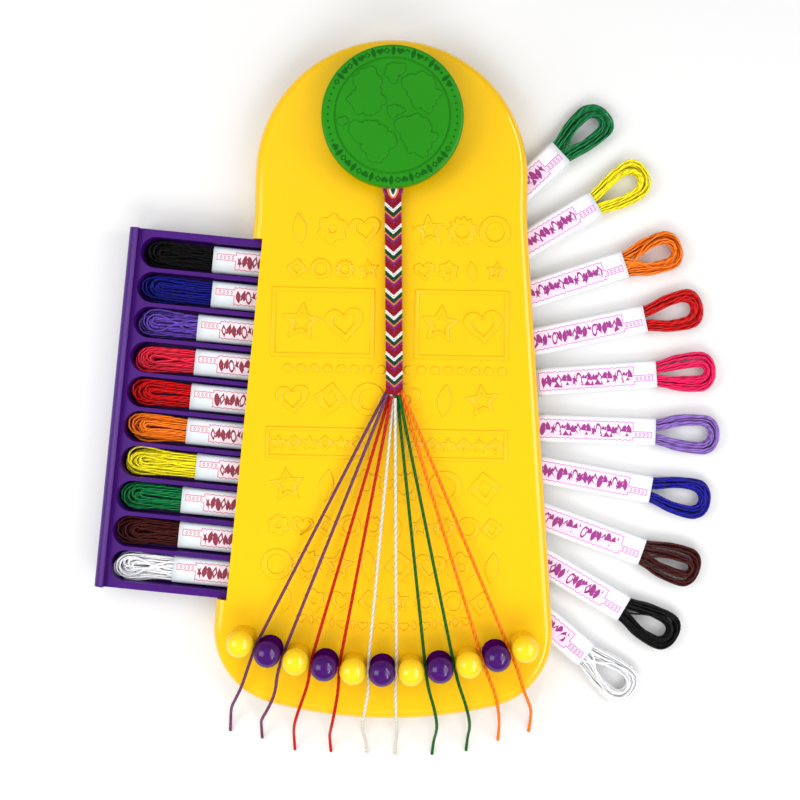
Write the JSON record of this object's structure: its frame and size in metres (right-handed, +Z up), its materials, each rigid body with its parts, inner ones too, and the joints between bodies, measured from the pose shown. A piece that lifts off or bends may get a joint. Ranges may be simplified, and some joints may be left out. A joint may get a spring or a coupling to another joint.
{
  "type": "bracelet braiding board",
  "caption": "Tabletop board for braiding friendship bracelets: flat case with a sprung disc clip, a row of pegs, a storage drawer of floss skeins and a bracelet in progress.",
  "frame": {"origin": "on the underside of the case, midway along its length, on its middle line", "axes": "+X to the right seen from above, away from the drawer; +Y from the pegs towards the clip; +Z up, out of the deck"},
  "size_m": [0.2808, 0.3264, 0.0391],
  "materials": {
    "yellow_plastic": "glossy moulded plastic, rounded edge",
    "zinc_steel": "zinc-plated",
    "purple_plastic": "glossy moulded plastic",
    "green_plastic": "satin moulded plastic",
    "soft_rubber": "matt",
    "floss_black": "mercerised cotton floss with a soft sheen",
    "floss_navy": "mercerised cotton floss with a soft sheen",
    "floss_violet": "mercerised cotton floss with a soft sheen",
    "floss_rose": "mercerised cotton floss with a soft sheen",
    "floss_red": "mercerised cotton floss with a soft sheen",
    "floss_orange": "mercerised cotton floss with a soft sheen",
    "floss_yellow": "mercerised cotton floss with a soft sheen",
    "floss_green": "mercerised cotton floss with a soft sheen",
    "floss_brown": "mercerised cotton floss with a soft sheen",
    "floss_white": "mercerised cotton floss with a soft sheen",
    "paper": "smooth white paper",
    "floss_pink": "mercerised cotton floss with a soft sheen",
    "floss_lavender": "mercerised cotton floss with a soft sheen",
    "floss_blue": "mercerised cotton floss with a soft sheen",
    "woven_floss": "knotted cotton floss in chevron stripes"
  },
  "bodies": {
    "board": {"base_cover": "yellow_plastic", "base_screws": "zinc_steel", "bracelet_band": "woven_floss", "case_top": "yellow_plastic", "clip_base": "green_plastic", "clip_pin": "zinc_steel", "clip_spring": "zinc_steel", "loose_skein_black": "floss_black", "loose_skein_blue": "floss_blue", "loose_skein_brown": "floss_brown", "loose_skein_green": "floss_green", "loose_skein_lavender": "floss_lavender", "loose_skein_orange": "floss_orange", "loose_skein_pink": "floss_pink", "loose_skein_red": "floss_red", "loose_skein_white": "floss_white", "loose_skein_yellow": "floss_yellow", "loose_sleeves": "paper", "purple_peg_1": "purple_plastic", "purple_peg_2": "purple_plastic", "purple_peg_3": "purple_plastic", "purple_peg_4": "purple_plastic", "purple_peg_5": "purple_plastic", "strand_01": "floss_violet", "strand_02": "floss_violet", "strand_03": "floss_red", "strand_04": "floss_red", "strand_05": "floss_white", "strand_06": "floss_white", "strand_07": "floss_green", "strand_08": "floss_green", "strand_09": "floss_orange", "strand_10": "floss_orange"},
    "clip_lid": {"clip_lid": "green_plastic", "clip_pad": "soft_rubber"},
    "drawer": {"drawer_tray": "purple_plastic", "drawer_sleeves": "paper", "drawer_skein_black": "floss_black", "drawer_skein_navy": "floss_navy", "drawer_skein_violet": "floss_violet", "drawer_skein_rose": "floss_rose", "drawer_skein_red": "floss_red", "drawer_skein_orange": "floss_orange", "drawer_skein_yellow": "floss_yellow", "drawer_skein_green": "floss_green", "drawer_skein_brown": "floss_brown", "drawer_skein_white": "floss_white"}
  },
  "joints": [
    {"name": "drawer_slide", "type": "slide", "parent": "board", "child": "drawer", "axis": [-0.9968, 0.0805, 0], "range_m": [-0.0554, 0.012]},
    {"name": "clip_hinge", "type": "hinge", "parent": "board", "child": "clip_lid", "pos_m": [0, 0.121, 0.025], "axis": [-1, 0, 0], "range_deg": [0, 16], "stiffness_Nm_per_rad": 0.06, "springref_deg": -20.05, "deforming": ["clip_spring"]}
  ]
}
